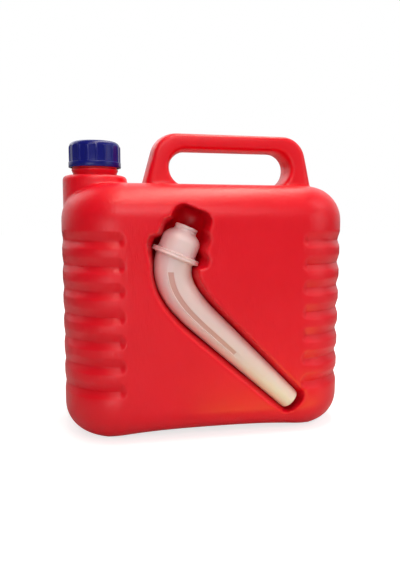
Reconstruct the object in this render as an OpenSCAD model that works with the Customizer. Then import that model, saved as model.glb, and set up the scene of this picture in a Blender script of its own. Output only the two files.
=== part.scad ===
// Five litre blow-moulded jerrycan with a screw cap and a pouring spout stored in its front face.
// The origin is at the middle of the base. The front faces -Y and +Z is up. Sizes are in millimetres.

/* [Body] */
// Width over the two rounded ends
body_w = 250; // [235:1:280]
// Depth from the front face to the back face
body_d = 115; // [108:1:140]
// Height of the can up to its flat top
body_h = 215.5; // [208:0.5:240]
// Radius of the four upright edges
edge_r = 50; // [44:1:53]
// Radius along the top edge
rim_r = 31; // [28:1:36]
// Radius along the bottom edge
base_r = 27; // [24:1:36]
// Thickness of the blown wall
wall = 2; // [1.4:0.1:3]
// How far the middle of the base is arched up between its two feet
base_rise = 4.4; // [0:0.1:5]
// Width of the foot at each end of the base
foot_w = 35; // [30:1:45]

/* [Grip grooves] */
// Number of grooves on each end, as far as the height leaves room for them
groove_count = 7; // [3:1:7]
// Distance from one groove to the next
groove_pitch = 20.4; // [16:0.1:20.6]
// Height of the lowest groove above the rounded lower edge
groove_rise = 18.5; // [10.5:0.5:20]
// Depth of a groove
groove_depth = 3.4; // [1:0.1:5]
// Depth of a groove at the middle of an end, where it fades out
groove_end_depth = 0.9; // [0:0.1:3]
// How far the grooves reach from the ends onto the front and the back
groove_reach = 49; // [40:0.5:56]

/* [Handle] */
// Middle of the handle, to the right of the middle of the can
handle_x = 22; // [15:0.5:30]
// Length over the two feet of the handle
handle_w = 156; // [145:1:165]
// Height of the grip above the top of the can
handle_h = 45; // [40:0.5:55]
// Thickness of the grip, front to back
handle_t = 32; // [24:1:40]
// Height of the grip's section
grip_h = 15.5; // [11:0.5:17]
// Width of a leg where it is narrowest
leg_w = 20; // [14:0.5:24]
// Lean of the legs towards each other, in degrees
leg_lean = 15.5; // [8:0.5:20]
// Outside radius of the handle's two bends
handle_bend = 22; // [16:0.5:26]

/* [Neck] */
// Distance of the neck's round shoulder from the left end
shoulder_gap = 1.5; // [0.5:0.5:6]
// Outside diameter of the round shoulder under the neck
shoulder_d = 55; // [50:0.5:58]
// Height of the shoulder above the top of the can
shoulder_h = 7.1; // [3:0.1:9]
// Bore of the neck
neck_bore = 34; // [33.4:0.1:35]
// Thickness of the neck's wall
neck_wall = 2; // [1.4:0.1:2.4]
// Height of the neck above its shoulder
neck_h = 26.5; // [20:0.5:32]
// Height of the flared foot of the neck
neck_foot_h = 5; // [2:0.1:6]
// Height of the screw thread's ridges over the neck
thread_depth = 0.8; // [0.6:0.1:1.2]
// Distance from one ridge of the thread to the next, by which the cap rises in one turn
thread_pitch = 5; // [3:0.5:6]

/* [Cap] */
// Height of the cap
cap_h = 22.4; // [18:0.2:24]
// Thickness of the cap's skirt and its top
cap_wall = 1.4; // [1:0.1:2]
// Number of grip ribs
rib_count = 18; // [6:1:24]
// Height that a grip rib stands out from the skirt
rib_depth = 0.6; // [0.3:0.1:1]
// Width of a grip rib
rib_width = 1.6; // [0.8:0.1:2.4]
// Height of the plain band at the foot of the cap
band_h = 4.2; // [3:0.2:6]
// Thickness of the sealing disc
liner_t = 1.2; // [0.8:0.1:2]

/* [Spout] */
// Place of the spout's flange, to the right of the middle of the can
spout_x = -31; // [-36:0.5:-26]
// Height of the spout's flange above the base
spout_z = 156.5; // [152:0.5:160]
// Lean of the spout's head, in degrees
head_lean = 22.4; // [16:0.2:28]
// Slope of the spout's straight tube below the horizontal, in degrees
tube_slope = 43.1; // [40:0.1:46]
// Length of the spout's straight tube
tube_len = 97; // [80:1:100]
// Width of the spout's bend, across
bend_w = 27.5; // [24:0.5:30]
// Height of the spout's bend
bend_h = 60.5; // [56:0.5:64]
// Radius of the spout just under its flange
root_r = 16.6; // [14:0.1:16.8]
// Radius of the spout where its straight tube starts
bend_r = 13.3; // [11:0.1:14]
// Radius of the spout at its tip
tip_r = 9.3; // [8:0.1:10]
// Thickness of the spout's wall
spout_wall = 1.3; // [1:0.1:2]
// Radius of the flange that rests on the neck's rim
flange_r = 21; // [19.8:0.1:22]
// Radius of the plug above the flange, which goes into the neck
plug_r = 16.5; // [15.8:0.1:16.7]
// Height of the plug's straight side
plug_h = 12; // [10:0.2:13]
// Radius of the collar at the end of the head
collar_r = 9.8; // [9:0.1:11]
// Height of the whole head above the flange
head_h = 25; // [23:0.2:27]
// Depth of the narrow channel sunk along the front of the tube
channel_depth = 0.8; // [0:0.1:1]

/* [Recess] */
// Gap between the spout and the floor that it lies on
seat_gap = 0.3; // [0.2:0.05:0.6]
// How much wider than the spout the recess opens at the front face
recess_draft = 3.6; // [3:0.1:6]
// How far the front of the flange lies behind the front face
flange_sink = 0.4; // [0.2:0.1:3]
// How far the front of the tip lies behind the front face
tip_sink = 1.6; // [1:0.1:4]
// Half width of the finger room above the spout's head
finger_room = 16.4; // [14:0.2:18]
// How far the mouth of the recess is shifted to the left round the spout's head
mouth_shift = 2.2; // [0:0.1:3]
// Radius of the soft lip round the recess
lip_r = 1.8; // [1:0.1:3]

/* [Hidden] */
$fn = 72;

RED = [0.86, 0.10, 0.13];
BLUE = [0.07, 0.14, 0.52];
CREAM = [0.93, 0.88, 0.82];
MILKY = [0.93, 0.80, 0.78];

front_y = -body_d / 2;
groove_z = base_r + groove_rise;
groove_room = body_h - rim_r - groove_pitch / 2 - groove_z;
grooves = min(groove_count, 1 + floor(groove_room / groove_pitch));
neck_x = -body_w / 2 + shoulder_gap + shoulder_d / 2;
shoulder_z = body_h + shoulder_h;
neck_r = neck_bore / 2 + neck_wall;
neck_top = shoulder_z + neck_h;

// Rows of points that give the blown skins their shape
GROOVE_STEPS = [-0.6, 0, 0.6, 1];
GROOVE_STEPS_INSIDE = [0, 1];
EDGE_STEPS = [0, 6, 13, 24, 40, 56, 73, 90];
EDGE_STEPS_INSIDE = [0, 22, 45, 68, 90];
HANDLE_POINTS = 16;
HANDLE_POWER = 0.57;
HANDLE_DRAFT = 0.15;
BOW_POWER = 2.6;
RIM_STEPS = 6;
RIM_STEPS_INSIDE = 3;

function lerp(a, b, t) = a + (b - a) * t;
function clamp(v, low, high) = min(max(v, low), high);
function smooth(t) = let (c = clamp(t, 0, 1)) c * c * (3 - 2 * c);

// One closed loft through rings of equally many points, with its two ends closed by flat fans
module loft(rings) {
    n = len(rings[0]);
    last = len(rings) - 1;
    points = [for (ring = rings) each ring];
    sides = [for (k = [0 : last - 1], i = [0 : n - 1])
        let (j = (i + 1) % n)
        [k * n + i, (k + 1) * n + i, (k + 1) * n + j, k * n + j]];
    foot = [[for (i = [0 : n - 1]) i]];
    head = [[for (i = [n - 1 : -1 : 0]) last * n + i]];
    polyhedron(points, concat(sides, foot, head));
}

// Share of a groove's depth at height z, on a point that lies u inwards from where the grooves begin
function groove_at(z, u) =
    let (
        half = groove_pitch / 2,
        k = clamp(round((z - groove_z) / groove_pitch), 0, grooves - 1),
        dz = z - groove_z - k * groove_pitch,
        away = norm([dz, max(half - u, 0)]) / half
    )
    away < 1 ? pow(1 - away, 1.35) : 0;

// Depth of the grooves at an angle round the end, 0 being the front and 90 the end's middle
function groove_depth_at(a) = lerp(groove_depth, groove_end_depth, smooth((a - 50) / 38));

// Heights of the skin's rings with their insets, for a skin that lies g inside the outer one
function skin_levels(g, steps, rim_steps) =
    let (
        low_r = base_r - g,
        top_r = rim_r - g,
        half = groove_pitch / 2,
        angles = [for (i = [0 : rim_steps]) 90 * i / rim_steps]
    )
    concat(
        [for (a = angles) [g + low_r * (1 - cos(a)), low_r * (1 - sin(a))]],
        [[groove_z - half, 0]],
        [for (k = [0 : grooves - 1], s = steps) [groove_z + k * groove_pitch + s * half, 0]],
        [for (a = angles) [body_h - g - top_r * (1 - sin(a)), top_r * (1 - cos(a))]]
    );

// Upward bow of the base's middle, which fades out over the height of the lower edge
function base_bow(x, z) =
    let (span = body_w / 2 - foot_w)
    abs(x) < span ? base_rise * (1 - pow(abs(x) / span, BOW_POWER)) * clamp(1 - z / base_r, 0, 1) : 0;

// Front half of one ring from the left end to the right end
function front_half(z, inset, g, edge_steps, flat_steps) =
    let (
        r = edge_r - g - inset,
        cx = body_w / 2 - edge_r,
        cy = body_d / 2 - edge_r,
        last = len(edge_steps) - 1,
        start = groove_reach - edge_r,
        corner = [for (a = edge_steps)
            let (rr = r - groove_depth_at(a) * groove_at(z, start + edge_r * a * PI / 180))
            [cx + rr * sin(a), -cy - rr * cos(a)]]
    )
    concat(
        [for (i = [last : -1 : 0]) [-corner[i][0], corner[i][1], z + base_bow(corner[i][0], z)]],
        [for (t = flat_steps) [t * cx, -cy - r, z + base_bow(t * cx, z)]],
        [for (p = corner) [p[0], p[1], z + base_bow(p[0], z)]]
    );

// Closed skin of the can, g inside its outer surface. The base and the top are strips from front to back.
module blown_skin(g, groove_steps, edge_steps, flat_steps, rim_steps) {
    levels = skin_levels(g, groove_steps, rim_steps);
    rings = [for (level = levels)
        let (front = front_half(level[0], level[1], g, edge_steps, flat_steps))
        concat(front, [for (i = [len(front) - 1 : -1 : 0]) [front[i][0], -front[i][1], front[i][2]]])];
    n = len(rings[0]);
    half = n / 2;
    last = len(rings) - 1;
    sides = [for (k = [0 : last - 1], i = [0 : n - 1])
        let (j = (i + 1) % n)
        [k * n + i, (k + 1) * n + i, (k + 1) * n + j, k * n + j]];
    base = [for (i = [0 : half - 2]) [i, i + 1, n - 2 - i, n - 1 - i]];
    top = [for (i = [0 : half - 2])
        [last * n + i, last * n + n - 1 - i, last * n + n - 2 - i, last * n + i + 1]];
    polyhedron([for (ring = rings) each ring], concat(sides, base, top));
}

module outer_skin() {
    blown_skin(0, GROOVE_STEPS, EDGE_STEPS, [-0.6, 0, 0.6], RIM_STEPS);
}

module inner_skin() {
    blown_skin(wall, GROOVE_STEPS_INSIDE, EDGE_STEPS_INSIDE, [0], RIM_STEPS_INSIDE);
}

// The handle is lofted from its feet over its top. A station of its right half is the pair of points
// where it meets the outer contour and the contour of the finger opening, whose ends are half round.
function handle_stations() =
    let (
        top_z = body_h + handle_h,
        hole_r = (handle_h - grip_h) / 2,
        hole_z = body_h + hole_r,
        lean = tan(leg_lean),
        hole_x = handle_w / 2 - hole_r * lean - leg_w - hole_r,
        arc_z = top_z - handle_bend,
        line_z = arc_z + handle_bend * sin(leg_lean),
        arc_x = handle_w / 2 - (line_z - body_h) * lean - handle_bend * cos(leg_lean),
        on_line = [for (t = [0, 0.4, 0.75, 1])
            let (z = lerp(body_h, line_z, t)) [handle_w / 2 - (z - body_h) * lean, z]],
        on_arc = [for (t = [0.25, 0.5, 0.75, 1])
            let (a = lerp(leg_lean, 90, t)) [arc_x + handle_bend * cos(a), arc_z + handle_bend * sin(a)]],
        outer = concat(on_line, on_arc),
        hole = [for (a = [-76, -48, -20, 4, 26, 48, 70, 90])
            [hole_x + hole_r * cos(a), hole_z + hole_r * sin(a)]],
        buried = [[handle_w / 2, body_h - 8], [hole_x + hole_r * cos(76), body_h - 8]]
    )
    concat([buried], [for (k = [0 : len(hole) - 1]) [outer[k], hole[k]]]);

function handle_ring(station, side, g) =
    let (
        middle = (station[0] + station[1]) / 2,
        reach = station[0] - middle,
        half = norm(reach) - g,
        dir = reach / norm(reach),
        deep = handle_t / 2 - g,
        step = 360 / HANDLE_POINTS
    )
    [for (i = [0 : HANDLE_POINTS - 1])
        let (
            c = cos(i * step),
            s = sin(i * step),
            depth = sign(s) * pow(abs(s), HANDLE_POWER),
            drafted = half * (1 - HANDLE_DRAFT * abs(depth)),
            p = middle + drafted * sign(c) * pow(abs(c), HANDLE_POWER) * dir
        )
        [handle_x + side * p[0], deep * depth, p[1]]];

module handle_arch(g) {
    stations = handle_stations();
    last = len(stations) - 1;
    right = [for (k = [0 : last]) handle_ring(stations[k], 1, g)];
    left = [for (k = [last : -1 : 0]) handle_ring(stations[k], -1, g)];
    loft(concat(right, left));
}

// Round shoulder under the neck, g inside its outer surface
module shoulder(g) {
    r = shoulder_d / 2 - g;
    soft = 4;
    translate([neck_x, 0, 0])
        rotate_extrude($fn = 40)
            polygon(concat(
                [[0, body_h - rim_r - g], [r, body_h - rim_r - g]],
                [for (a = [0 : 22.5 : 90])
                    [r - soft + soft * cos(a), shoulder_z - g - soft + soft * sin(a)]],
                [[0, shoulder_z - g]]
            ));
}

// Neck as one turned ring round its bore, rooted in the shoulder's top wall. Plain ridges stand for
// its thread.
module neck() {
    ridge_r = neck_r + thread_depth;
    foot_z = shoulder_z + neck_foot_h;
    first_z = foot_z + 4;
    ridges = floor((neck_top - 2.5 - first_z) / thread_pitch);
    translate([neck_x, 0, 0])
        rotate_extrude()
            polygon(concat(
                [
                    [neck_bore / 2, shoulder_z - wall - 1],
                    [neck_r + 0.2, shoulder_z - wall - 1],
                    [neck_r + 0.2, shoulder_z + 0.5],
                    [ridge_r, foot_z - 1],
                    [ridge_r, foot_z],
                    [neck_r, foot_z + thread_depth]
                ],
                [for (k = [0 : ridges], q = [[0, -1.2], [1, -0.4], [1, 0.4], [0, 1.2]])
                    [neck_r + q[0] * thread_depth, first_z + k * thread_pitch + q[1]]],
                [
                    [neck_r, neck_top - 0.6],
                    [neck_r - 0.6, neck_top],
                    [neck_bore / 2, neck_top]
                ]
            ));
}

// Path of the spout in the front view: the head's axis, a smooth bend and a straight tube
head_dir = [sin(head_lean), cos(head_lean)];
tube_dir = [cos(tube_slope), -sin(tube_slope)];
flange_at = [spout_x, spout_z];
tube_at = flange_at + [bend_w, -bend_h];
pull = 26;
BEND_STEPS = 7;
TUBE_STEPS = 4;
tip_soft = 2.5;
shoulder_run = 8;
head_y = front_y + flange_sink + flange_r;
tip_y = front_y + tip_sink + tip_r;

function bend_point(t) =
    let (
        b = flange_at - pull * head_dir,
        c = tube_at - pull * tube_dir,
        u = 1 - t
    )
    u * u * u * flange_at + 3 * u * u * t * b + 3 * u * t * t * c + t * t * t * tube_at;

function bend_dir(t) =
    let (d = bend_point(min(t + 0.02, 1)) - bend_point(max(t - 0.02, 0)))
    d / norm(d);

// A station of the tube is its place, its direction, its radius and its depth in the can
function bend_station(t) =
    [bend_point(t), bend_dir(t), lerp(root_r, bend_r, t), lerp(head_y, tip_y, 0.3 * t)];

function tube_station(t) =
    let (place = tube_at + t * tube_len * tube_dir)
    [place, tube_dir, lerp(bend_r, tip_r, t), lerp(head_y, tip_y, 0.3 + 0.7 * t)];

function tube_stations() = concat(
    [for (i = [0 : BEND_STEPS]) bend_station(i / BEND_STEPS)],
    [for (i = [1 : TUBE_STEPS]) tube_station(i / TUBE_STEPS)]
);

// Sideways in the front view, to the left of someone who walks along the path and looks at the can
function across(dir) = [dir[1], -dir[0]];

// Point of a ring round the path, at angle a from its side, the front being at -90 degrees
function around(station, a, r) =
    let (side = across(station[1]))
    [station[0][0] + r * cos(a) * side[0], station[3] + r * sin(a), station[0][1] + r * cos(a) * side[1]];

TUBE_ANGLES = concat([-84, -77, -71, -64], [for (a = [-45 : 25 : 255]) a]);

function channel_at(k, a, last) =
    a < -70 && a > -78 && k > 1 && k < last - 3 ? channel_depth : 0;

// The tube's skin, g inside its outer surface, from inside the head to past its rounded tip
module tube_skin(g, past_tip) {
    stations = tube_stations();
    last = len(stations) - 1;
    first = stations[0];
    end = stations[last];
    lead_in = 2;
    foot = [for (a = TUBE_ANGLES)
        around([first[0] - lead_in * first[1], first[1], first[2], first[3]], a, first[2] - g)];
    length = [for (k = [0 : last])
        [for (a = TUBE_ANGLES) around(stations[k], a, stations[k][2] - g - channel_at(k, a, last))]];
    tip = [for (t = [30 : 30 : 90])
        let (place = [end[0] + past_tip * sin(t) * end[1], end[1], end[2], end[3]])
        [for (a = TUBE_ANGLES) around(place, a, end[2] - g - (g > 0 ? 0 : past_tip * (1 - cos(t))))]];
    loft(concat([foot], length, tip));
}

// Places a shape turned about Z on the axis of the spout's head
module on_head() {
    translate([flange_at[0], head_y, flange_at[1]])
        rotate([0, head_lean, 0])
            children();
}

module head_outside() {
    shoulder = plug_h + shoulder_run;
    step = 0.5;
    rotate_extrude()
        polygon([
            [0, -4],
            [root_r, -4],
            [root_r + 0.4, -2.8],
            [flange_r - 0.3, -0.8],
            [flange_r, -0.4],
            [flange_r, 0.4],
            [flange_r - 0.4, 0.8],
            [plug_r, 0.8],
            [plug_r, plug_h],
            [plug_r - 0.7, plug_h + 2.2],
            [plug_r - 2.2, plug_h + 4.6],
            [plug_r - 4.2, plug_h + 6.4],
            [collar_r + step, shoulder - step],
            [collar_r, shoulder + 0.2],
            [collar_r, shoulder + 1.3],
            [collar_r - step, shoulder + 1.7],
            [collar_r - step, shoulder + 2.3],
            [collar_r, shoulder + 2.7],
            [collar_r, head_h - step],
            [collar_r - step, head_h],
            [0, head_h]
        ]);
}

module head_inside() {
    shoulder = plug_h + shoulder_run;
    rotate_extrude()
        polygon([
            [0, -6],
            [root_r - spout_wall, -6],
            [root_r - spout_wall, 0],
            [plug_r - spout_wall, 1],
            [plug_r - spout_wall, plug_h],
            [plug_r - spout_wall - 2.2, plug_h + 3.4],
            [collar_r - spout_wall, shoulder - 1],
            [collar_r - spout_wall, head_h + 1],
            [0, head_h + 1]
        ]);
}

// The recess follows the spout. A station is its place, direction, half width at the front face,
// half width at the depth of the spout's axis, the depth of that axis, and the shift of its mouth.
SLOT_HALF = 7.5;
FLOOR_STEP = 36;
tip_room = 8;
slot_w = flange_r + recess_draft + 2;
pocket_w = plug_r + recess_draft + 1;

function head_station(s, front_w, floor_w) =
    [flange_at + s * head_dir, -head_dir, front_w, floor_w, head_y, mouth_shift];

function recess_stations(g) =
    let (
        plug_end = head_h - 0.5,
        top = head_h + 15.5 + g,
        room = finger_room,
        seat = seat_gap,
        round_end = tip_r + recess_draft + 0.8,
        tube = tube_stations(),
        last = len(tube) - 1,
        end = tube[last],
        tip_past = [for (i = [1 : 5])
            let (a = 18 * i - 6, place = end[0] + (tip_room + g) * sin(a) * end[1])
            [place, end[1], round_end * pow(cos(a), 0.7), (tip_r + seat) * pow(cos(a), 0.5), end[3], 0]]
    )
    concat(
        [
            head_station(top, room - 7, room - 9),
            head_station(top - 1.5, room - 4, room - 6.5),
            head_station(top - 4, room - 1.4, room - 4.4),
            head_station(top - 7.5, room, room - 3.4),
            head_station(plug_end + 3, room, room - 3.2),
            head_station(plug_end, lerp(room, pocket_w, 0.55), room - 2),
            head_station(plug_end - 3, pocket_w, plug_r + seat),
            head_station(SLOT_HALF + 3.5, pocket_w, plug_r + seat),
            head_station(SLOT_HALF + 0.5, lerp(pocket_w, slot_w, 0.6), plug_r + seat + 1),
            head_station(SLOT_HALF - 2.5, slot_w, flange_r + seat),
            head_station(-SLOT_HALF + 4.5, slot_w - 0.3, flange_r + seat)
        ],
        [for (k = [1 : last])
            let (r = tube[k][2], front_w = r + recess_draft + (k == 1 ? 0.6 : 0))
            [tube[k][0], tube[k][1], front_w, r + seat, tube[k][3], mouth_shift * max(1 - k / 4, 0)]],
        tip_past
    );

// Section of the recess: straight out in front, a soft lip, sloping sides and a half-round floor,
// whose flats lie outside the circle that the spout needs
function recess_section(station, g) =
    let (
        side = across(station[1]),
        front_w = station[2] + g,
        floor_w = (station[3] + g) / cos(FLOOR_STEP / 2),
        depth = station[4] - front_y,
        lip = g > 0 ? lip_r * 0.4 : lip_r,
        right = [
            [front_w + lip, -4],
            [front_w + lip * 0.86, -0.05],
            [front_w + lip * 0.26, 0.26 * lip_r],
            [lerp(front_w, floor_w, 0.12), 0.9 * lip_r],
            [floor_w, depth]
        ],
        floor_arc = [for (a = [FLOOR_STEP : FLOOR_STEP : 89]) [floor_w * cos(a), depth + floor_w * sin(a)]],
        half = concat(right, floor_arc),
        n = len(half)
    )
    [for (q = concat(half, [for (i = [n - 1 : -1 : 0]) [-half[i][0], half[i][1]]]))
        let (w = q[0] + station[5] * clamp(1 - q[1] / depth, 0, 1))
        [station[0][0] + w * side[0], front_y + q[1], station[0][1] + w * side[1]]];

module recess(g) {
    loft([for (s = recess_stations(g)) recess_section(s, g)]);
}

// The blown shell is drawn to its exact overall width and depth
module shell() {
    resize([body_w, body_d, 0])
        difference() {
            union() {
                outer_skin();
                shoulder(0);
                handle_arch(0);
            }
            difference() {
                union() {
                    inner_skin();
                    shoulder(wall);
                    handle_arch(wall);
                }
                recess(wall);
            }
            translate([neck_x, 0, body_h])
                cylinder(r = neck_bore / 2 + neck_wall / 2, h = shoulder_h + 1, $fn = 40);
            recess(0);
        }
}

module body() {
    color(RED) {
        shell();
        neck();
    }
}

// Cap: a turned cup with grip ribs above a plain band
cap_gap = 0.25;
cap_inner_r = neck_r + thread_depth + cap_gap;
cap_r = cap_inner_r + cap_wall;
cap_top = neck_top + liner_t + cap_wall;
cap_z = cap_top - cap_h;

module cap() {
    band_r = cap_r + rib_depth + 0.3;
    crown = 4.2;
    rib_top = cap_h - crown - 0.4;
    front = -87;
    color(BLUE)
        translate([neck_x, 0, cap_z])
            difference() {
                union() {
                    rotate_extrude()
                        polygon(concat(
                            [[0, 0], [band_r, 0], [band_r, band_h - 0.6], [band_r - 0.6, band_h]],
                            [[cap_r, band_h]],
                            [for (a = [0 : 18 : 90])
                                [cap_r - crown * 1.2 * (1 - cos(a)), cap_h - crown * (1 - sin(a))]],
                            [[0, cap_h]]
                        ));
                    for (i = [0 : rib_count - 1])
                        rotate(front + i * 360 / rib_count)
                            translate([cap_r - 0.5, -rib_width / 2, band_h - 0.3])
                                cube([rib_depth + 0.5, rib_width, rib_top - band_h]);
                }
                translate([0, 0, -1])
                    cylinder(r = cap_inner_r, h = cap_h - cap_wall - 1.8);
                translate([0, 0, cap_h - cap_wall - 2.9])
                    cylinder(r1 = cap_inner_r, r2 = cap_inner_r - 1.4, h = 2.9);
            }
}

module cap_liner() {
    color(CREAM)
        translate([neck_x, 0, neck_top])
            cylinder(r = cap_inner_r - 1.6, h = liner_t);
}

module spout() {
    color(MILKY)
        difference() {
            union() {
                tube_skin(0, tip_soft);
                on_head() head_outside();
            }
            tube_skin(spout_wall, tip_soft + 1);
            on_head() head_inside();
        }
}

body();
cap();
cap_liner();
spout();
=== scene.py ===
"""Looks of a red blow-moulded jerrycan with a blue screw cap and a milky pouring spout."""

import math

import bmesh
import bpy
from mathutils import Euler, Matrix, Vector


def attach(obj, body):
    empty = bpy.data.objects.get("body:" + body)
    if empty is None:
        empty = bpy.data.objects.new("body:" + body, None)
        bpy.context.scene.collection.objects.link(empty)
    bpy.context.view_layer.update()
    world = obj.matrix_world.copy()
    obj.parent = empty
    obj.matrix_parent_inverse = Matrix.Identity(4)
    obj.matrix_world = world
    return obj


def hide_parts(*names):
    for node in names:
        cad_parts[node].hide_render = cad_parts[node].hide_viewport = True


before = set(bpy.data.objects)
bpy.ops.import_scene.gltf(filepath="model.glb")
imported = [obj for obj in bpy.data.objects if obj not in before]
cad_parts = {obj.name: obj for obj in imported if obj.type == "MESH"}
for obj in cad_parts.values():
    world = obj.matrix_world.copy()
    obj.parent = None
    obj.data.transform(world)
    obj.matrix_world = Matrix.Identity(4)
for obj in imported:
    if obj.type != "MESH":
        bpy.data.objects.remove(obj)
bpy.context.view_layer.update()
MM = 0.001

# Camera at the photograph's place: low in front of the can, a little to its left, looking slightly down.
# The focal length was found from the can's outline in a picture 570 pixels high.
CAMERA_PLACE = Vector((-103.4, -494.3, 185.0)) * MM
CAMERA_YAW = math.radians(11.50)
CAMERA_PITCH = math.radians(-6.71)
CAMERA_ROLL = math.radians(0.19)
FOCAL_PIXELS = 551.7
PICTURE_HEIGHT = 570

camera_data = bpy.data.cameras.new("camera")
camera_data.sensor_width = 36
camera_data.lens = FOCAL_PIXELS / PICTURE_HEIGHT * camera_data.sensor_width
camera_data.clip_start = 0.01
camera = bpy.data.objects.new("camera", camera_data)
bpy.context.collection.objects.link(camera)
camera.location = CAMERA_PLACE
aim = Euler((math.pi / 2 + CAMERA_PITCH, 0, -CAMERA_YAW)).to_matrix() @ Matrix.Rotation(CAMERA_ROLL, 3, "Z")
camera.rotation_euler = aim.to_euler()
bpy.context.scene.camera = camera
bpy.context.scene.view_settings.view_transform = "Standard"


# Soft studio light: a wide key overhead, a front lamp with weak ones beside and below it, and a wide one
# behind for the rims. A small yellowish sheet lies on the floor in front, hidden from the camera, and its glow
# falls on the can's lower right.
def area_light(name, place, target, size, power, color=(1, 1, 1)):
    data = bpy.data.lights.new(name, "AREA")
    data.shape = "RECTANGLE"
    data.size, data.size_y = size
    data.energy = power
    data.color = color
    lamp = bpy.data.objects.new(name, data)
    bpy.context.collection.objects.link(lamp)
    lamp.location = place
    lamp.rotation_euler = (Vector(target) - Vector(place)).to_track_quat("-Z", "Y").to_euler()
    return lamp


# each lamp: place, target, size, power in watts, colour
MIDDLE = (0, 0, 0.12)
area_light("key", (0.10, -0.05, 1.0), MIDDLE, (1.2, 0.2), 8, (1.0, 0.88, 0.76))
area_light("right", (0.75, -0.25, 0.75), MIDDLE, (0.4, 0.4), 1.0)
area_light("front", (-0.05, -1.0, 0.75), MIDDLE, (0.6, 0.4), 3.5)
area_light("fill", (0.95, -0.65, 0.35), MIDDLE, (0.5, 0.5), 1.5)
area_light("low", (-0.42, -0.85, 0.10), MIDDLE, (0.4, 0.2), 1.0)
area_light("rim", (-0.45, 0.65, 0.75), MIDDLE, (1.0, 0.5), 2.0)
SHEET_PLACE = (0.09, -0.11, 0.002)
ABOVE_SHEET = (0.09, -0.11, 1.0)
sheet = area_light("sheet", SHEET_PLACE, ABOVE_SHEET, (0.18, 0.05), 0.08, (0.35, 0.55, 0.03))
sheet.visible_camera = False

# World and floor: white for the camera, and the floor a little less so close to the can. The light of the
# world is weaker, and so are its reflections on the side that the can's front faces, as in a room that is
# dark on that side.
WORLD_LIGHT = 0.12
MIRRORED_FULLY_AT = -0.7
FLOOR_SIZE = 6
FLOOR_DROP = 0.2 * MM
FLOOR_GREY = 0.6
GLOW_BY_THE_CAN = 0.72
GLOW_RISES_FROM = 0.12
GLOW_IS_FULL_AT = 0.45

world = bpy.data.worlds.new("studio")
bpy.context.scene.world = world
world.use_nodes = True
nodes, links = world.node_tree.nodes, world.node_tree.links
background = nodes["Background"]
background.inputs["Color"].default_value = (1, 1, 1, 1)
light_path = nodes.new("ShaderNodeLightPath")
ray = nodes.new("ShaderNodeNewGeometry")
ray_parts = nodes.new("ShaderNodeSeparateXYZ")
links.new(ray.outputs["Incoming"], ray_parts.inputs[0])
behind = nodes.new("ShaderNodeMapRange")
behind.interpolation_type = "SMOOTHSTEP"
behind.inputs["From Min"].default_value = 0.0
behind.inputs["From Max"].default_value = MIRRORED_FULLY_AT
links.new(ray_parts.outputs["Y"], behind.inputs["Value"])
mirrored = nodes.new("ShaderNodeMath")
mirrored.operation = "MULTIPLY"
links.new(light_path.outputs["Is Glossy Ray"], mirrored.inputs[0])
links.new(behind.outputs["Result"], mirrored.inputs[1])
seen = nodes.new("ShaderNodeMath")
seen.operation = "MAXIMUM"
links.new(light_path.outputs["Is Camera Ray"], seen.inputs[0])
links.new(light_path.outputs["Is Transmission Ray"], seen.inputs[1])
seen_or_mirrored = nodes.new("ShaderNodeMath")
seen_or_mirrored.operation = "MAXIMUM"
links.new(seen.outputs[0], seen_or_mirrored.inputs[0])
links.new(mirrored.outputs[0], seen_or_mirrored.inputs[1])
strength = nodes.new("ShaderNodeMapRange")
strength.inputs["To Min"].default_value = WORLD_LIGHT
strength.inputs["To Max"].default_value = 1
links.new(seen_or_mirrored.outputs[0], strength.inputs["Value"])
links.new(strength.outputs["Result"], background.inputs["Strength"])

floor_mesh = bmesh.new()
bmesh.ops.create_grid(floor_mesh, x_segments=1, y_segments=1, size=FLOOR_SIZE)
floor_data = bpy.data.meshes.new("floor")
floor_mesh.to_mesh(floor_data)
floor_mesh.free()
floor = bpy.data.objects.new("floor", floor_data)
bpy.context.collection.objects.link(floor)
floor.location.z = -FLOOR_DROP
floor_finish = bpy.data.materials.new("white_floor")
floor_finish.use_nodes = True
nodes, links = floor_finish.node_tree.nodes, floor_finish.node_tree.links
paper = nodes["Principled BSDF"]
paper.inputs["Base Color"].default_value = (FLOOR_GREY, FLOOR_GREY, FLOOR_GREY, 1)
paper.inputs["Roughness"].default_value = 0.9
paper.inputs["Specular IOR Level"].default_value = 0
glow = nodes.new("ShaderNodeEmission")
light_path = nodes.new("ShaderNodeLightPath")
glow_strength = nodes.new("ShaderNodeMath")
glow_strength.operation = "MULTIPLY"
links.new(light_path.outputs["Is Camera Ray"], glow_strength.inputs[0])
floor_place = nodes.new("ShaderNodeTexCoord")
distance = nodes.new("ShaderNodeVectorMath")
distance.operation = "LENGTH"
links.new(floor_place.outputs["Object"], distance.inputs[0])
far_glow = nodes.new("ShaderNodeMapRange")
far_glow.inputs["From Min"].default_value = GLOW_RISES_FROM
far_glow.inputs["From Max"].default_value = GLOW_IS_FULL_AT
far_glow.inputs["To Min"].default_value = GLOW_BY_THE_CAN
far_glow.inputs["To Max"].default_value = 1
links.new(distance.outputs["Value"], far_glow.inputs["Value"])
links.new(far_glow.outputs["Result"], glow_strength.inputs[1])
links.new(glow_strength.outputs[0], glow.inputs["Strength"])
both = nodes.new("ShaderNodeAddShader")
links.new(paper.outputs["BSDF"], both.inputs[0])
links.new(glow.outputs["Emission"], both.inputs[1])
links.new(both.outputs["Shader"], nodes["Material Output"].inputs["Surface"])
floor_data.materials.append(floor_finish)

# Shell: blow-moulded polyethylene, an upright box with well rounded ends and soft rims at its base and top.
# Its measures are those of the CAD model.
BODY_W = 250 * MM
BODY_D = 115 * MM
BODY_H = 215.5 * MM
EDGE_R = 50 * MM
RIM_R = 31 * MM
BASE_R = 27 * MM
FRONT_Y = -BODY_D / 2


def mix(a, b, t):
    return a + (b - a) * t


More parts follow.
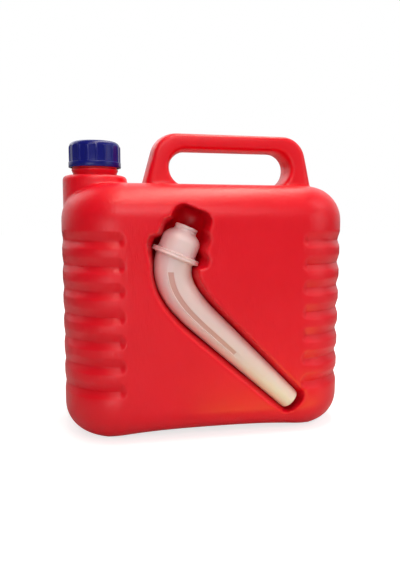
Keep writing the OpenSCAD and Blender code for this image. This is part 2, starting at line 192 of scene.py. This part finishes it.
def smooth(value, low, high):
    t = min(max((value - low) / (high - low), 0), 1)
    return t * t * (3 - 2 * t)


def new_piece(name, bm):
    """A finished bmesh as an object at the origin, with its faces outwards and shaded smooth."""
    bmesh.ops.recalc_face_normals(bm, faces=bm.faces)
    data = bpy.data.meshes.new(name)
    bm.to_mesh(data)
    bm.free()
    data.shade_smooth()
    piece = bpy.data.objects.new(name, data)
    bpy.context.collection.objects.link(piece)
    return piece


def apply_modifiers(piece):
    """Works the modifiers into the mesh."""
    depsgraph = bpy.context.evaluated_depsgraph_get()
    made = bpy.data.meshes.new_from_object(piece.evaluated_get(depsgraph))
    piece.modifiers.clear()
    old = piece.data
    piece.data = made
    bpy.data.meshes.remove(old)


def combine(piece, tools):
    """Unites the piece with other forms, or cuts them out of it, and removes them."""
    for tool, operation in tools:
        cut = piece.modifiers.new(tool.name, "BOOLEAN")
        cut.operation = operation
        cut.object = tool
        cut.solver = "EXACT"
    apply_modifiers(piece)
    for tool, operation in tools:
        bpy.data.objects.remove(tool)


def rounded_box(name, inset, edge_steps, rim_steps):
    """The box of the can, inset evenly: its upright edges are rounded, and then its base and top rims."""
    bm = bmesh.new()
    bmesh.ops.create_cube(bm, size=1)
    bmesh.ops.scale(bm, vec=(BODY_W - 2 * inset, BODY_D - 2 * inset, BODY_H - 2 * inset), verts=bm.verts)
    bmesh.ops.translate(bm, vec=(0, 0, BODY_H / 2), verts=bm.verts)
    upright = [e for e in bm.edges if abs(e.verts[0].co.z - e.verts[1].co.z) > BODY_H / 2]
    bmesh.ops.bevel(bm, geom=upright, offset=EDGE_R - inset, offset_type="OFFSET", segments=edge_steps,
                    profile=0.5, affect="EDGES", material=-1)
    for rim_z, rim_r in ((inset, BASE_R - inset), (BODY_H - inset, RIM_R - inset)):
        rim = [e for e in bm.edges if all(abs(v.co.z - rim_z) < 0.1 * MM for v in e.verts)]
        bmesh.ops.bevel(bm, geom=rim, offset=rim_r, offset_type="OFFSET", segments=rim_steps, profile=0.5,
                        affect="EDGES", material=-1)
    return new_piece(name, bm)


can = rounded_box("can_shell", 0, 28, 18)

# Handle: blown in one with the shell. Rings go across its arch, from the outer outline to the finger
# opening, and narrow a little towards the front and the back, so that it leaves the mould.
HANDLE_X = 22 * MM
HANDLE_W = 156 * MM
HANDLE_H = 45 * MM
HANDLE_T = 32 * MM
GRIP_H = 15.5 * MM
LEG_W = 20 * MM
LEG_LEAN = math.radians(15.5)
HANDLE_BEND = 22 * MM
HANDLE_POINTS = 36
HANDLE_POWER = 0.42
HANDLE_DRAFT = 0.15
HANDLE_STEPS = 22
STRAIGHT_SHARE = 0.45
SUNK_IN = 8 * MM
OPENING_FROM = math.radians(-76)
OPENING_FOOT = 0.24


def add_rings(bm, rings, marked=None):
    """Skin through rings of equally many points. It is a grid that is rolled up and merged where it meets,
    and open ends are filled. Faces at marked rows and columns get the second material."""
    count = len(rings[0])
    grid = bmesh.ops.create_grid(bm, x_segments=count, y_segments=len(rings) - 1, size=1)["verts"]
    for index, vert in enumerate(grid):
        row, column = divmod(index, count + 1)
        vert.co = rings[row][column % count]
    if marked:
        for index, face in enumerate(bm.faces):
            face.material_index = int(divmod(index, count) in marked)
    bmesh.ops.remove_doubles(bm, verts=grid, dist=1e-7)
    open_edges = [e for e in bm.edges if e.is_boundary]
    bmesh.ops.holes_fill(bm, edges=open_edges, sides=0)


def handle_stations():
    """Pairs of points on the outer outline and on the outline of the opening, up one leg to the middle."""
    top = BODY_H + HANDLE_H
    hole_r = (HANDLE_H - GRIP_H) / 2
    lean = math.tan(LEG_LEAN)
    hole_x = HANDLE_W / 2 - hole_r * lean - LEG_W - hole_r
    arc_z = top - HANDLE_BEND
    line_z = arc_z + HANDLE_BEND * math.sin(LEG_LEAN)
    arc_x = HANDLE_W / 2 - (line_z - BODY_H) * lean - HANDLE_BEND * math.cos(LEG_LEAN)
    foot_z = BODY_H - SUNK_IN
    stations = [((HANDLE_W / 2, foot_z), (hole_x + OPENING_FOOT * hole_r, foot_z))]
    for step in range(HANDLE_STEPS + 1):
        share = step / HANDLE_STEPS
        turned = (share - STRAIGHT_SHARE) / (1 - STRAIGHT_SHARE)
        if turned < 0:
            z = mix(BODY_H, line_z, share / STRAIGHT_SHARE)
            outer = (HANDLE_W / 2 - (z - BODY_H) * lean, z)
        else:
            a = mix(LEG_LEAN, math.pi / 2, turned)
            outer = (arc_x + HANDLE_BEND * math.cos(a), arc_z + HANDLE_BEND * math.sin(a))
        a = mix(OPENING_FROM, math.pi / 2, share)
        inner = (hole_x + hole_r * math.cos(a), BODY_H + hole_r + hole_r * math.sin(a))
        stations.append((outer, inner))
    return stations


def squared(value):
    return math.copysign(abs(value) ** HANDLE_POWER, value)


def handle_ring(station, side):
    (outer_x, outer_z), (inner_x, inner_z) = station
    ring = []
    for i in range(HANDLE_POINTS):
        a = 2 * math.pi * i / HANDLE_POINTS
        reach = (1 + squared(math.cos(a)) * (1 - HANDLE_DRAFT * abs(squared(math.sin(a))))) / 2
        ring.append((HANDLE_X + side * mix(inner_x, outer_x, reach),
                     HANDLE_T / 2 * squared(math.sin(a)), mix(inner_z, outer_z, reach)))
    return ring


bm = bmesh.new()
arch = handle_stations()
add_rings(bm, [handle_ring(s, 1) for s in arch] + [handle_ring(s, -1) for s in reversed(arch)])
handle = new_piece("handle_arch", bm)

# Round shoulder under the neck: part of the same blown skin, a drum with a softened upper edge that stands
# in the can's top left corner.
NECK_X = -96 * MM
SHOULDER_R = 27.5 * MM
SHOULDER_Z = 222.6 * MM
SHOULDER_SOFT = 4 * MM
bm = bmesh.new()
drum_h = SHOULDER_Z - (BODY_H - RIM_R)
bmesh.ops.create_cone(bm, cap_ends=True, segments=96, radius1=SHOULDER_R, radius2=SHOULDER_R, depth=drum_h)
bmesh.ops.translate(bm, vec=(NECK_X, 0, SHOULDER_Z - drum_h / 2), verts=bm.verts)
top_edge = [e for e in bm.edges if all(v.co.z > SHOULDER_Z - MM for v in e.verts)]
bmesh.ops.bevel(bm, geom=top_edge, offset=SHOULDER_SOFT, offset_type="OFFSET", segments=6, profile=0.5,
                affect="EDGES", material=-1)
shoulder = new_piece("neck_shoulder", bm)

# Path of the stored spout in the front view, which its recess follows too: the head's axis, a bend and a
# straight tube that tapers to the tip.
HEAD_LEAN = math.radians(22.4)
TUBE_SLOPE = math.radians(43.1)
TUBE_LEN = 97 * MM
PULL = 26 * MM
ROOT_R = 16.6 * MM
BEND_R = 13.3 * MM
TIP_R = 9.3 * MM
FLANGE_R = 21 * MM
PLUG_R = 16.5 * MM
HEAD_H = 25 * MM
HEAD_Y = FRONT_Y + 0.4 * MM + FLANGE_R
TIP_Y = FRONT_Y + 1.6 * MM + TIP_R
HEAD_DIR = Vector((math.sin(HEAD_LEAN), 0, math.cos(HEAD_LEAN)))
TUBE_DIR = Vector((math.cos(TUBE_SLOPE), 0, -math.sin(TUBE_SLOPE)))
FLANGE_AT = Vector((-31, 0, 156.5)) * MM
TUBE_AT = FLANGE_AT + Vector((27.5, 0, -60.5)) * MM
BEND_SHARE = 0.42
BEND_RISE = 0.3


def spout_station(t):
    """Place, direction, radius and depth in the can at share t of the way from the flange to the tip."""
    if t < BEND_SHARE:
        u = t / BEND_SHARE
        low, high = FLANGE_AT - PULL * HEAD_DIR, TUBE_AT - PULL * TUBE_DIR
        place = ((1 - u) ** 3 * FLANGE_AT + 3 * u * (1 - u) ** 2 * low
                 + 3 * u * u * (1 - u) * high + u ** 3 * TUBE_AT)
        path = ((1 - u) ** 2 * (low - FLANGE_AT) + 2 * u * (1 - u) * (high - low)
                + u * u * (TUBE_AT - high))
        return place, path.normalized(), mix(ROOT_R, BEND_R, u), mix(HEAD_Y, TIP_Y, BEND_RISE * u)
    u = (t - BEND_SHARE) / (1 - BEND_SHARE)
    place = TUBE_AT + u * TUBE_LEN * TUBE_DIR
    rise = BEND_RISE + (1 - BEND_RISE) * u
    return place, TUBE_DIR, mix(BEND_R, TIP_R, u), mix(HEAD_Y, TIP_Y, rise)


# Recess: pressed into the front face by the mould, so that the spout snaps in. Its form is skinned through
# stations down the spout's path. Each has the half width at the front face, the half width at the depth of
# the spout's axis, that depth, and the shift of its mouth.
SEAT_GAP = 0.5 * MM
DRAFT = 3.6 * MM
LIP_R = 1.6 * MM
FINGER_ROOM = 16.4 * MM
MOUTH_SHIFT = 2.2 * MM
POCKET_W = PLUG_R + DRAFT + 1 * MM
SLOT_W = FLANGE_R + DRAFT + 2 * MM
RECESS_TOP = 40.5 * MM
RECESS_STEPS = 36
SHIFT_STEPS = 8
KEY_STEPS = 4
END_ROOM = 8 * MM
END_STEPS = 8
END_TURN = 11
BACK_GROWN = 3 * MM


def recess_stations():
    """From the finger room over the head, past the plug and the flange, down the tube to the rounded end."""
    top = RECESS_TOP
    room = FINGER_ROOM
    # each row: distance from the flange, half width at the front face, half width at the spout's axis
    keys = [
        (top, room - 6.0 * MM, room - 9 * MM),
        (top - 1.5 * MM, room - 3.4 * MM, room - 6.5 * MM),
        (top - 4 * MM, room - 1.2 * MM, room - 4.4 * MM),
        (top - 8 * MM, room, room - 3.4 * MM),
        (HEAD_H + 2.5 * MM, room, room - 3.2 * MM),
        (HEAD_H - 4 * MM, POCKET_W, PLUG_R + SEAT_GAP),
        (11.0 * MM, POCKET_W, PLUG_R + SEAT_GAP),
        (5 * MM, SLOT_W, FLANGE_R + SEAT_GAP),
        (-3.0 * MM, SLOT_W - 0.3 * MM, FLANGE_R + SEAT_GAP),
    ]
    stations = []
    for (low, front, floor_w), (high, next_front, next_floor) in zip(keys, keys[1:]):
        for step in range(KEY_STEPS):
            ease = smooth(step, 0, KEY_STEPS)
            place = FLANGE_AT + mix(low, high, step / KEY_STEPS) * HEAD_DIR
            stations.append((place, -HEAD_DIR, mix(front, next_front, ease), mix(floor_w, next_floor, ease),
                             HEAD_Y, MOUTH_SHIFT))
    for step in range(2, RECESS_STEPS + 1):
        place, path, r, depth = spout_station(step / RECESS_STEPS)
        shift = MOUTH_SHIFT * max(1 - step / SHIFT_STEPS, 0)
        stations.append((place, path, r + DRAFT, r + SEAT_GAP, depth, shift))
    place, path, r, depth = spout_station(1)
    for step in range(1, END_STEPS + 1):
        a = math.radians(END_TURN * step)
        front_w = (r + DRAFT + 0.8 * MM) * math.cos(a) ** 0.7
        floor_w = (r + SEAT_GAP) * math.cos(a) ** 0.5
        stations.append((place + END_ROOM * math.sin(a) * path, path, front_w, floor_w, depth, 0))
    return stations


def recess_ring(station, grown):
    """Outline across the recess, with a rounded lip and a round floor, grown evenly for its back wall."""
    place, path, front_w, floor_w, axis_y, shift = station
    side = Vector((path.z, 0, -path.x))
    depth = axis_y - FRONT_Y
    front_w += grown
    floor_w += grown
    half = [(front_w + LIP_R, -6 * MM), (front_w + 0.86 * LIP_R, -0.1 * MM)]
    for a in range(20, 90, 23):
        lip = math.radians(a)
        half.append((front_w + LIP_R * (1 - math.sin(lip)), LIP_R * (1 - math.cos(lip))))
    half += [(mix(front_w, floor_w, t), mix(LIP_R, depth, t)) for t in (0.15, 0.45, 0.75)]
    half += [(floor_w * math.cos(math.radians(a)), depth + floor_w * math.sin(math.radians(a)))
             for a in range(0, 90, 15)]
    outline = half + [(0, depth + floor_w)] + [(-w, d) for w, d in reversed(half)]
    return [place + (w + shift * min(max(1 - d / depth, 0), 1)) * side + Vector((0, FRONT_Y + d, 0))
            for w, d in outline]


bm = bmesh.new()
add_rings(bm, [recess_ring(s, 0) for s in recess_stations()])
recess = new_piece("recess_form", bm)

# The outer forms become one skin. It is remeshed finely, its corners are blended, grip grooves are pressed
# into its rounded ends, the base is bowed up between its feet, and flat parts are thinned out again.
VOXEL = 1.05 * MM
SKIN_TRIANGLES = 150000
BASE_RISE = 4.4 * MM
BOW_POWER = 2.6
FOOT_X = 90 * MM
GROOVE_COUNT = 7
GROOVE_PITCH = 20.4 * MM
GROOVE_Z = 45.5 * MM
GROOVE_ABOVE = 8.2 * MM
GROOVE_BELOW = 6.0 * MM
GROOVE_DEPTH = 3.9 * MM
GROOVE_POWER = 1.15
GROOVE_FADE = 0.25
FADE_FROM, FADE_TO = math.radians(42), math.radians(86)
GROOVE_START = -1 * MM
GROOVE_END_RUN = 6 * MM
CORNER_SLACK = 4 * MM

combine(can, [(handle, "UNION"), (shoulder, "UNION"), (recess, "DIFFERENCE")])
remesh = can.modifiers.new("even_skin", "REMESH")
remesh.mode = "VOXEL"
remesh.voxel_size = VOXEL
blend_corners = can.modifiers.new("blend_corners", "SMOOTH")
blend_corners.factor = 0.5
blend_corners.iterations = 6
apply_modifiers(can)


def groove_depth_at(z, inwards):
    """Depth of the grooves at height z, at a distance inwards from where they begin."""
    k = min(max(round((z - GROOVE_Z) / GROOVE_PITCH), 0), GROOVE_COUNT - 1)
    up = z - GROOVE_Z - k * GROOVE_PITCH
    across = abs(up) / (GROOVE_ABOVE if up > 0 else GROOVE_BELOW)
    along = max(1 - inwards / GROOVE_END_RUN, 0)
    away = math.hypot(across, along)
    return GROOVE_DEPTH * (1 - away) ** GROOVE_POWER if away < 1 else 0


corner_x, corner_y = BODY_W / 2 - EDGE_R, BODY_D / 2 - EDGE_R
for vert in can.data.vertices:
    x, y, z = vert.co
    if abs(x) > corner_x - CORNER_SLACK and z < BODY_H - RIM_R:
        out = Vector((abs(x) - corner_x, max(abs(y) - corner_y, 0), 0))
        if out.length > EDGE_R - CORNER_SLACK:
            turn = math.atan2(out.x, out.y)
            depth = groove_depth_at(z, turn * EDGE_R - GROOVE_START)
            depth *= mix(1, GROOVE_FADE, smooth(turn, FADE_FROM, FADE_TO))
            inward = out.normalized() * depth
            vert.co.x -= math.copysign(inward.x, x)
            vert.co.y -= math.copysign(inward.y, y)
    if z < BASE_R and abs(x) < FOOT_X:
        vert.co.z += BASE_RISE * (1 - (abs(x) / FOOT_X) ** BOW_POWER) * (1 - z / BASE_R)
can.data.update()
thin_out = can.modifiers.new("thin_out", "DECIMATE")
thin_out.ratio = SKIN_TRIANGLES / (2 * len(can.data.polygons))
apply_modifiers(can)

# Threaded neck: moulded with the can from the same polyethylene. Its profile, with a bead under the cap, is
# spun round the neck's axis, and its outer face swells into a helical thread. The bore goes through it into
# the hollow of the can, which leaves an even wall round the recess.
THREAD_DEPTH = 0.8 * MM
THREAD_PITCH = 5 * MM
NECK_COLUMNS = 96
BORE_COLUMNS = 64
THREAD_LOW, THREAD_HIGH = 230 * MM, 247 * MM
THREAD_RUN_OUT = 2 * MM
HOLLOW_INSET = 6.6 * MM
CAN_SHARP_ANGLE = math.radians(48)


def thread_height(a, z, low, high):
    """Share of a thread's depth at angle a and height z, running out at its low and high end."""
    turn = z / THREAD_PITCH - a / (2 * math.pi)
    crest = abs(turn - round(turn)) * THREAD_PITCH
    ends = smooth(z, low, low + THREAD_RUN_OUT) * (1 - smooth(z, high - THREAD_RUN_OUT, high))
    return (1 - smooth(crest, 0.4 * MM, 1.3 * MM)) * ends


def spun(bm, rows, steps):
    """A profile of (radius, height) rows in mm, spun round the Z axis and closed at its ends."""
    profile = [bm.verts.new((r * MM, 0, z * MM)) for r, z in rows]
    lines = [bm.edges.new(pair) for pair in zip(profile, profile[1:])]
    bmesh.ops.spin(bm, geom=profile + lines, cent=(0, 0, 0), axis=(0, 0, 1), dvec=(0, 0, 0),
                   angle=2 * math.pi, steps=steps, use_merge=True)
    bmesh.ops.remove_doubles(bm, verts=bm.verts, dist=1e-7)
    bmesh.ops.holes_fill(bm, edges=[e for e in bm.edges if e.is_boundary], sides=0)


# each row: radius, height
neck_rows = [(18.3, 217), (18.3, 222.9), (18.6, 224), (19.5, 226.4), (19.8, 226.9), (19.8, 227.7),
             (19.5, 228.2), (19, 228.4)]
neck_rows += [(19, 228.8 + 0.5 * i) for i in range(39)] + [(18.9, 248.6), (18.4, 249.1)]
bm = bmesh.new()
spun(bm, neck_rows, NECK_COLUMNS)
for vert in bm.verts:
    r, a = math.hypot(vert.co.x, vert.co.y), math.atan2(vert.co.y, vert.co.x)
    grown = 1 + THREAD_DEPTH * thread_height(a, vert.co.z, THREAD_LOW, THREAD_HIGH) / r
    vert.co.x, vert.co.y = vert.co.x * grown, vert.co.y * grown
bmesh.ops.translate(bm, vec=(NECK_X, 0, 0), verts=bm.verts)
neck = new_piece("threaded_neck", bm)

bm = bmesh.new()
add_rings(bm, [recess_ring(s, BACK_GROWN) for s in recess_stations()])
recess_back = new_piece("recess_back", bm)
bm = bmesh.new()
spun(bm, [(17, 190), (17, 248.3), (17.8, 249.2), (18, 252)], BORE_COLUMNS)
bmesh.ops.translate(bm, vec=(NECK_X, 0, 0), verts=bm.verts)
bore = new_piece("neck_bore", bm)
hollow = rounded_box("hollow", HOLLOW_INSET, 8, 5)
combine(hollow, [(recess_back, "DIFFERENCE"), (bore, "UNION")])
combine(can, [(neck, "UNION"), (hollow, "DIFFERENCE")])
can.data.shade_smooth()
can.data.set_sharp_from_angle(angle=CAN_SHARP_ANGLE)

# Finish of the can: satin polyethylene that lets a little light in. All the plastics share a grain, fine and
# upright on the can, with slow clouds in it, for colour, gloss and relief.
GLOSS_CHANGE = 0.05
grain_group = bpy.data.node_groups.new("moulding_grain", "ShaderNodeTree")
for name, default in (("Size", 900), ("Stretch", 0.2), ("Cloud Size", 30)):
    socket = grain_group.interface.new_socket(name, in_out="INPUT", socket_type="NodeSocketFloat")
    socket.default_value = default
for name in ("Height", "Clouds"):
    grain_group.interface.new_socket(name, in_out="OUTPUT", socket_type="NodeSocketFloat")
nodes, links = grain_group.nodes, grain_group.links
group_in, group_out = nodes.new("NodeGroupInput"), nodes.new("NodeGroupOutput")
coordinates = nodes.new("ShaderNodeTexCoord")
squeeze = nodes.new("ShaderNodeCombineXYZ")
squeeze.inputs["X"].default_value = 1
squeeze.inputs["Y"].default_value = 1
links.new(group_in.outputs["Stretch"], squeeze.inputs["Z"])
stretched = nodes.new("ShaderNodeVectorMath")
stretched.operation = "MULTIPLY"
links.new(coordinates.outputs["Object"], stretched.inputs[0])
links.new(squeeze.outputs["Vector"], stretched.inputs[1])
grain = nodes.new("ShaderNodeTexNoise")
grain.inputs["Detail"].default_value = 3
grain.inputs["Roughness"].default_value = 0.6
links.new(stretched.outputs["Vector"], grain.inputs["Vector"])
links.new(group_in.outputs["Size"], grain.inputs["Scale"])
links.new(grain.outputs["Fac"], group_out.inputs["Height"])
clouds = nodes.new("ShaderNodeTexNoise")
clouds.inputs["Detail"].default_value = 2
links.new(coordinates.outputs["Object"], clouds.inputs["Vector"])
links.new(group_in.outputs["Cloud Size"], clouds.inputs["Scale"])
links.new(clouds.outputs["Fac"], group_out.inputs["Clouds"])


def plastic(name, light, dark, roughness, specular, grain_size, grain_stretch, grain_height):
    """A plastic whose colour and gloss follow the clouds and whose relief is the grain."""
    material = bpy.data.materials.new(name)
    material.use_nodes = True
    nodes, links = material.node_tree.nodes, material.node_tree.links
    shader = nodes["Principled BSDF"]
    shader.inputs["Specular IOR Level"].default_value = specular
    texture = nodes.new("ShaderNodeGroup")
    texture.node_tree = grain_group
    texture.inputs["Size"].default_value = grain_size
    texture.inputs["Stretch"].default_value = grain_stretch
    tint = nodes.new("ShaderNodeMix")
    tint.data_type = "RGBA"
    tint.inputs["A"].default_value = (*dark, 1)
    tint.inputs["B"].default_value = (*light, 1)
    links.new(texture.outputs["Clouds"], tint.inputs["Factor"])
    links.new(tint.outputs["Result"], shader.inputs["Base Color"])
    gloss = nodes.new("ShaderNodeMapRange")
    gloss.inputs["To Min"].default_value = roughness - GLOSS_CHANGE
    gloss.inputs["To Max"].default_value = roughness + GLOSS_CHANGE
    links.new(texture.outputs["Clouds"], gloss.inputs["Value"])
    links.new(gloss.outputs["Result"], shader.inputs["Roughness"])
    bump = nodes.new("ShaderNodeBump")
    bump.inputs["Strength"].default_value = 1
    bump.inputs["Distance"].default_value = grain_height
    links.new(texture.outputs["Height"], bump.inputs["Height"])
    links.new(bump.outputs["Normal"], shader.inputs["Normal"])
    return material


def let_light_in(material, weight, radius, depth):
    """Light goes into the plastic and comes out again beside where it went in."""
    shader = material.node_tree.nodes["Principled BSDF"]
    shader.inputs["Subsurface Weight"].default_value = weight
    shader.inputs["Subsurface Radius"].default_value = radius
    shader.inputs["Subsurface Scale"].default_value = depth


red_plastic = plastic("red_polyethylene", light=(0.86, 0.0015, 0.016), dark=(0.78, 0.0005, 0.010),
                      roughness=0.35, specular=0.44, grain_size=900, grain_stretch=0.18, grain_height=0.22 * MM)
let_light_in(red_plastic, weight=0.35, radius=(1, 0.04, 0.04), depth=6 * MM)
can.data.materials.clear()
can.data.materials.append(red_plastic)
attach(can, "can")
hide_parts("body")

# Screw cap: moulded polypropylene, screwed on by hand. It has a low crown, grip ribs above a plain band, and
# a thread inside.
CAP_Z = 229.3 * MM
RIB_COUNT = 18
RIB_DEPTH = 0.6
RIB_FRONT = -87
RIB_OFFSETS = (-6.9, -3.4, -2.4, -1.5, 0, 1.5, 2.4, 3.4)
RIB_SHARES = (0, 0, 0.75, 1, 1, 1, 0.75, 0)
CAP_THREAD_DEPTH = 0.55
CAP_THREAD_LOW, CAP_THREAD_HIGH = 1.5 * MM, 17 * MM
CAP_SHARP_ANGLE = math.radians(40)

# each row: radius, height, share of the ribs' depth, share of the thread's depth
cap_rows = [(0.001, 22.4, 0, 0), (8, 22.3, 0, 0), (13, 22.1, 0, 0)]
cap_rows += [(16.3 + 5.1 * math.sin(math.radians(a)), 17.6 + 4.3 * math.cos(math.radians(a)), 0, 0)
             for a in range(0, 76, 15)]
cap_rows += [(21.45, 18.1, 0, 0), (21.45, 17.6, 0.7, 0), (21.45, 17.1, 1, 0), (21.45, 12, 1, 0),
             (21.45, 4.9, 1, 0), (21.5, 4.6, 1, 0), (22.0, 4.5, 0.3, 0), (22.3, 4.2, 0, 0),
             (22.35, 3.9, 0, 0), (22.35, 0.5, 0, 0), (22.1, 0.1, 0, 0), (21.8, 0, 0, 0),
             (20.8, 0, 0, 0), (20.45, 0.4, 0, 0)]
cap_rows += [(20.45, 1 + 0.6 * i, 0, 1) for i in range(28)]
cap_rows += [(20.3, 18.3, 0, 0), (18.8, 20.9, 0, 0), (18.6, 21, 0, 0), (0.001, 21, 0, 0)]
bm = bmesh.new()
rings = []
for radius, height, rib, thread in cap_rows:
    ring = []
    for k in range(RIB_COUNT):
        for offset, share in zip(RIB_OFFSETS, RIB_SHARES):
            a = math.radians(RIB_FRONT + 360 / RIB_COUNT * k + offset)
            ridge = thread_height(a, height * MM, CAP_THREAD_LOW, CAP_THREAD_HIGH)
            r = (radius + RIB_DEPTH * rib * share - CAP_THREAD_DEPTH * thread * ridge) * MM
            ring.append((NECK_X + r * math.cos(a), r * math.sin(a), CAP_Z + height * MM))
    rings.append(ring)
add_rings(bm, rings)
cap = new_piece("screw_cap_skin", bm)
cap.data.set_sharp_from_angle(angle=CAP_SHARP_ANGLE)
blue_plastic = plastic("blue_polypropylene", light=(0.006, 0.009, 0.20), dark=(0.004, 0.006, 0.15),
                       roughness=0.26, specular=0.35, grain_size=1500, grain_stretch=1, grain_height=0.02 * MM)
cap.data.materials.append(blue_plastic)
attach(cap, "screw_cap")
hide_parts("cap")

# Sealing disc: pressed foam, punched from a sheet and pushed up into the cap, kept as the CAD model has it.
# It rises with the cap without turning.
foam = plastic("liner_foam", light=(0.86, 0.83, 0.75), dark=(0.80, 0.77, 0.68),
               roughness=0.8, specular=0.3, grain_size=1200, grain_stretch=1, grain_height=0.05 * MM)
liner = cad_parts["cap_liner"]
liner.data.materials.clear()
liner.data.materials.append(foam)

# Pouring spout: one moulding of natural polyethylene, pushed into the recess. Its head is round, with a
# collar for the mouth, a plug with a soft shoulder, and a flange. The bent tube tapers to a rounded, open tip
# and has a shallow channel, whose floor is coloured a darker rose. The whole spout's colour is tinted pink:
# painted red light, standing in for the red of the can that glows through and onto the whitish plastic.
SPOUT_WALL = 1.3 * MM
CHANNEL_DEPTH = 1.0 * MM
CHANNEL_START = 0.08
CHANNEL_END = 0.60
CHANNEL_RUN_OUT = 0.015
CHANNEL_FROM, CHANNEL_TO = -84, -67
TUBE_ANGLES = [-94, -90, -87, -85, CHANNEL_FROM, CHANNEL_TO, -66, -64, -61] + list(range(-54, 262, 8))
TUBE_STEPS = 48
HEAD_COLUMNS = 72
SPOUT_SHARP_ANGLE = math.radians(42)


def tube_rings(inset, start, past_tip):
    """Rings round the tube, inset from its outer face, from before the flange to past the tip."""
    rings = []
    for step in range(TUBE_STEPS + 1):
        t = step / TUBE_STEPS
        place, path, r, depth = spout_station(t)
        channel = CHANNEL_DEPTH * smooth(t, CHANNEL_START, CHANNEL_START + CHANNEL_RUN_OUT)
        channel *= 1 - smooth(t, CHANNEL_END, CHANNEL_END + CHANNEL_RUN_OUT)
        rings.append((place, path, r, depth, channel))
    place, path, r, depth, channel = rings[0]
    rings.insert(0, (place - start * path, path, r, depth, 0))
    place, path, r, depth, channel = rings[-1]
    for a in (22, 45, 68, 90):
        swing = math.radians(a)
        drop = 0 if inset else past_tip * (1 - math.cos(swing))
        rings.append((place + past_tip * math.sin(swing) * path, path, r - drop, depth, 0))
    points = []
    for place, path, r, depth, channel in rings:
        side = Vector((path.z, 0, -path.x))
        ring = []
        for angle in TUBE_ANGLES:
            a = math.radians(angle)
            reach = r - inset - (channel if CHANNEL_FROM <= angle <= CHANNEL_TO else 0)
            ring.append(place + reach * math.cos(a) * side + Vector((0, depth + reach * math.sin(a), 0)))
        points.append(ring)
    return points


def turned_on_head(name, rows):
    """A closed form turned round the axis of the spout's head, through (radius, distance) rows in mm."""
    bm = bmesh.new()
    turns = [2 * math.pi * i / HEAD_COLUMNS for i in range(HEAD_COLUMNS)]
    add_rings(bm, [[(r * math.cos(a) * MM, r * math.sin(a) * MM, s * MM) for a in turns] for r, s in rows])
    bm.transform(Matrix.Translation((FLANGE_AT.x, HEAD_Y, FLANGE_AT.z)) @ Matrix.Rotation(HEAD_LEAN, 4, "Y"))
    return new_piece(name, bm)


bm = bmesh.new()
channel_floor = {(row + 1, TUBE_ANGLES.index(CHANNEL_FROM)) for row in range(TUBE_STEPS)
                 if CHANNEL_START < (row + 0.5) / TUBE_STEPS < CHANNEL_END}
add_rings(bm, tube_rings(0, 2 * MM, 2.5 * MM), channel_floor)
spout = new_piece("pouring_spout_skin", bm)
# The spout's pink base colour is painted red light: the red of the can, glowing through and onto whitish
# plastic.
spout_plastic_painted_red_glow = plastic("milky_polyethylene_painted_red_glow", light=(0.88, 0.68, 0.67), dark=(0.83, 0.61, 0.60),
                        roughness=0.36, specular=0.5, grain_size=700, grain_stretch=1, grain_height=0.03 * MM)
let_light_in(spout_plastic_painted_red_glow, weight=0.25, radius=(1, 0.5, 0.4), depth=3 * MM)
# The channel's floor gets its own darker rose colour, deeper than the rest of the spout.
darker_channel_plastic = plastic("darker_channel_polyethylene", light=(0.72, 0.42, 0.38), dark=(0.67, 0.37, 0.33),
                       roughness=0.45, specular=0.45, grain_size=700, grain_stretch=1, grain_height=0.03 * MM)
spout.data.materials.append(spout_plastic_painted_red_glow)
spout.data.materials.append(darker_channel_plastic)
head = turned_on_head("spout_head", [
    (0.001, -4), (16.6, -4), (17.2, -3.4), (20.2, -2.7), (20.8, -2.5), (21, -2.2), (21, -1.8), (20.6, -1.4),
    (20.5, -0.3), (20.9, 0.2), (20.9, 0.6), (20.5, 0.95), (17.3, 1.2), (16.6, 1.7), (16.5, 4), (16.5, 11.4),
    (16.3, 13), (15.6, 14.8), (14.4, 16.6), (12.6, 18.3), (10.6, 19.7), (9.9, 20.3), (9.8, 20.7), (9.8, 21.6),
    (9.3, 21.9), (9.3, 22.5), (9.8, 22.8), (9.8, 24.4), (9.5, 24.9), (9.2, 25), (0.001, 25)])
head_bore = turned_on_head("spout_head_bore", [
    (0.001, -6), (15.3, -6), (15.3, 0), (15.2, 1), (15.2, 11.8), (14.2, 14.6), (12.2, 17.2), (9.0, 19.3),
    (8.5, 20), (8.5, 24.6), (8.8, 26), (0.001, 26)])
bm = bmesh.new()
add_rings(bm, tube_rings(SPOUT_WALL, 3 * MM, 4 * MM))
tube_bore = new_piece("spout_tube_bore", bm)
combine(spout, [(head, "UNION"), (head_bore, "DIFFERENCE"), (tube_bore, "DIFFERENCE")])
spout.data.shade_smooth()
spout.data.set_sharp_from_angle(angle=SPOUT_SHARP_ANGLE)
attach(spout, "pouring_spout")
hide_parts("spout")
